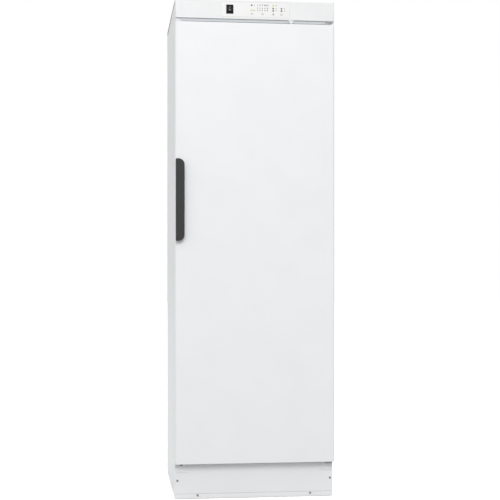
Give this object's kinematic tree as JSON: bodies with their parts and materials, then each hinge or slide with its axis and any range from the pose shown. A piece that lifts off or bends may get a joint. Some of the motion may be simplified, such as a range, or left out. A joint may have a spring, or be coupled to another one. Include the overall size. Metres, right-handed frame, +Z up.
{
  "type": "drying cabinet",
  "caption": "Tall white drying cabinet with a full-height hinged door, a control panel with rocker switch and buttons, fold-up hanging racks, a warm-air fan and a roof exhaust collar.",
  "frame": {"origin": "centre of the bounding box footprint on the floor plane", "axes": "+Z up, front with the door and controls facing -Y, +X to the right of a person who faces the door"},
  "size_m": [0.598, 0.652, 1.89],
  "materials": {
    "white_paint": "semi-gloss white powder coat",
    "zinc": "zinc-plated sheet",
    "dark_steel": "dark coated steel",
    "steel": "stainless steel",
    "rack_wire": "white-coated steel",
    "white_plastic": "white moulded plastic",
    "insert_plastic": "white printed panel",
    "button_plastic": "white moulded plastic",
    "liner_plastic": "white vacuum-formed sheet",
    "handle_plastic": "dark grey grained plastic",
    "switch_plastic": "black plastic",
    "black_plastic": "black plastic",
    "motor_plastic": "dark grey casting",
    "lens": "smoky light lens",
    "board": "green circuit board",
    "wool": "mineral wool",
    "foam": "light foam",
    "seal_rubber": "pale grey seal"
  },
  "bodies": {
    "cabinet": {"side_panel_left": "white_paint", "side_panel_right": "white_paint", "back_panel": "zinc", "top_cover": "white_paint", "base_plate": "zinc", "plinth_panel": "white_paint", "bottom_strip": "white_paint", "casing_screws": "steel", "front_rail_top": "white_paint", "front_sill": "white_paint", "inner_side_walls": "white_paint", "inner_back_wall": "white_paint", "chamber_floor": "white_paint", "chamber_ceiling": "white_paint", "wall_insulation": "wool", "drip_tray": "steel", "control_fascia": "white_plastic", "display_insert": "insert_plastic", "switch_bezel": "switch_plastic", "indicator_lenses": "lens", "control_board": "board", "door_switch_housing": "white_plastic", "hinge_upper": "dark_steel", "hinge_lower": "white_paint", "hinge_blank": "white_paint", "fan_housing": "zinc", "fan_motor": "motor_plastic", "heater_duct": "zinc", "heater_element": "steel", "exhaust_duct": "zinc", "cord_gland": "black_plastic", "wall_brackets": "zinc", "rack_brackets": "zinc", "rack_rests": "zinc", "rack_high_frame": "rack_wire", "rack_high_rods": "rack_wire"},
    "door": {"door_outer_skin": "white_paint", "door_inner_liner": "liner_plastic", "door_corner_cap": "white_plastic", "door_insulation": "foam", "door_gasket": "seal_rubber", "door_handle": "handle_plastic", "handle_screws": "steel", "door_bushes": "white_plastic", "glove_rails": "zinc", "glove_pegs": "white_plastic"},
    "rocker": {"switch_rocker": "switch_plastic"},
    "button_1": {"button_1": "button_plastic"},
    "button_2": {"button_2": "button_plastic"},
    "button_3": {"button_3": "button_plastic"},
    "button_4": {"button_4": "button_plastic"},
    "fan": {"fan_wheel": "zinc"},
    "rack_middle": {"rack_middle_frame": "rack_wire", "rack_middle_rods": "rack_wire"},
    "rack_low": {"rack_low_frame": "rack_wire", "rack_low_rods": "rack_wire"},
    "foot_1": {"foot_1": "black_plastic"},
    "foot_2": {"foot_2": "black_plastic"},
    "foot_3": {"foot_3": "black_plastic"},
    "foot_4": {"foot_4": "black_plastic"}
  },
  "joints": [
    {"name": "door_hinge", "type": "hinge", "parent": "cabinet", "child": "door", "pos_m": [0.287, -0.286, 0.95], "axis": [0, 0, 1], "range_deg": [0, 120]},
    {"name": "rocker_tilt", "type": "hinge", "parent": "cabinet", "child": "rocker", "pos_m": [-0.0954, -0.299, 1.8183], "axis": [1, 0, 0], "range_deg": [0, 14]},
    {"name": "button_1_press", "type": "slide", "parent": "cabinet", "child": "button_1", "axis": [0, 1, 0], "range_m": [0, 0.0012], "stiffness_N_per_m": 400},
    {"name": "button_2_press", "type": "slide", "parent": "cabinet", "child": "button_2", "axis": [0, 1, 0], "range_m": [0, 0.0012], "stiffness_N_per_m": 400},
    {"name": "button_3_press", "type": "slide", "parent": "cabinet", "child": "button_3", "axis": [0, 1, 0], "range_m": [0, 0.0012], "stiffness_N_per_m": 400},
    {"name": "button_4_press", "type": "slide", "parent": "cabinet", "child": "button_4", "axis": [0, 1, 0], "range_m": [0, 0.0012], "stiffness_N_per_m": 400},
    {"name": "fan_spin", "type": "hinge", "parent": "cabinet", "child": "fan", "pos_m": [-0.11, -0.03, 1.7], "axis": [0, 0, 1], "continuous": true},
    {"name": "rack_middle_fold", "type": "hinge", "parent": "cabinet", "child": "rack_middle", "pos_m": [0, 0.235, 1.135], "axis": [-1, 0, 0], "range_deg": [0, 85]},
    {"name": "rack_low_fold", "type": "hinge", "parent": "cabinet", "child": "rack_low", "pos_m": [0, 0.235, 0.68], "axis": [-1, 0, 0], "range_deg": [0, 85]},
    {"name": "foot_1_turn", "type": "hinge", "parent": "cabinet", "child": "foot_1", "pos_m": [-0.2555, -0.225, 0.03], "axis": [0, 0, 1], "continuous": true},
    {"name": "foot_2_turn", "type": "hinge", "parent": "cabinet", "child": "foot_2", "pos_m": [0.2555, -0.225, 0.03], "axis": [0, 0, 1], "continuous": true},
    {"name": "foot_3_turn", "type": "hinge", "parent": "cabinet", "child": "foot_3", "pos_m": [0.2555, 0.265, 0.03], "axis": [0, 0, 1], "continuous": true},
    {"name": "foot_4_turn", "type": "hinge", "parent": "cabinet", "child": "foot_4", "pos_m": [-0.2555, 0.265, 0.03], "axis": [0, 0, 1], "continuous": true}
  ]
}
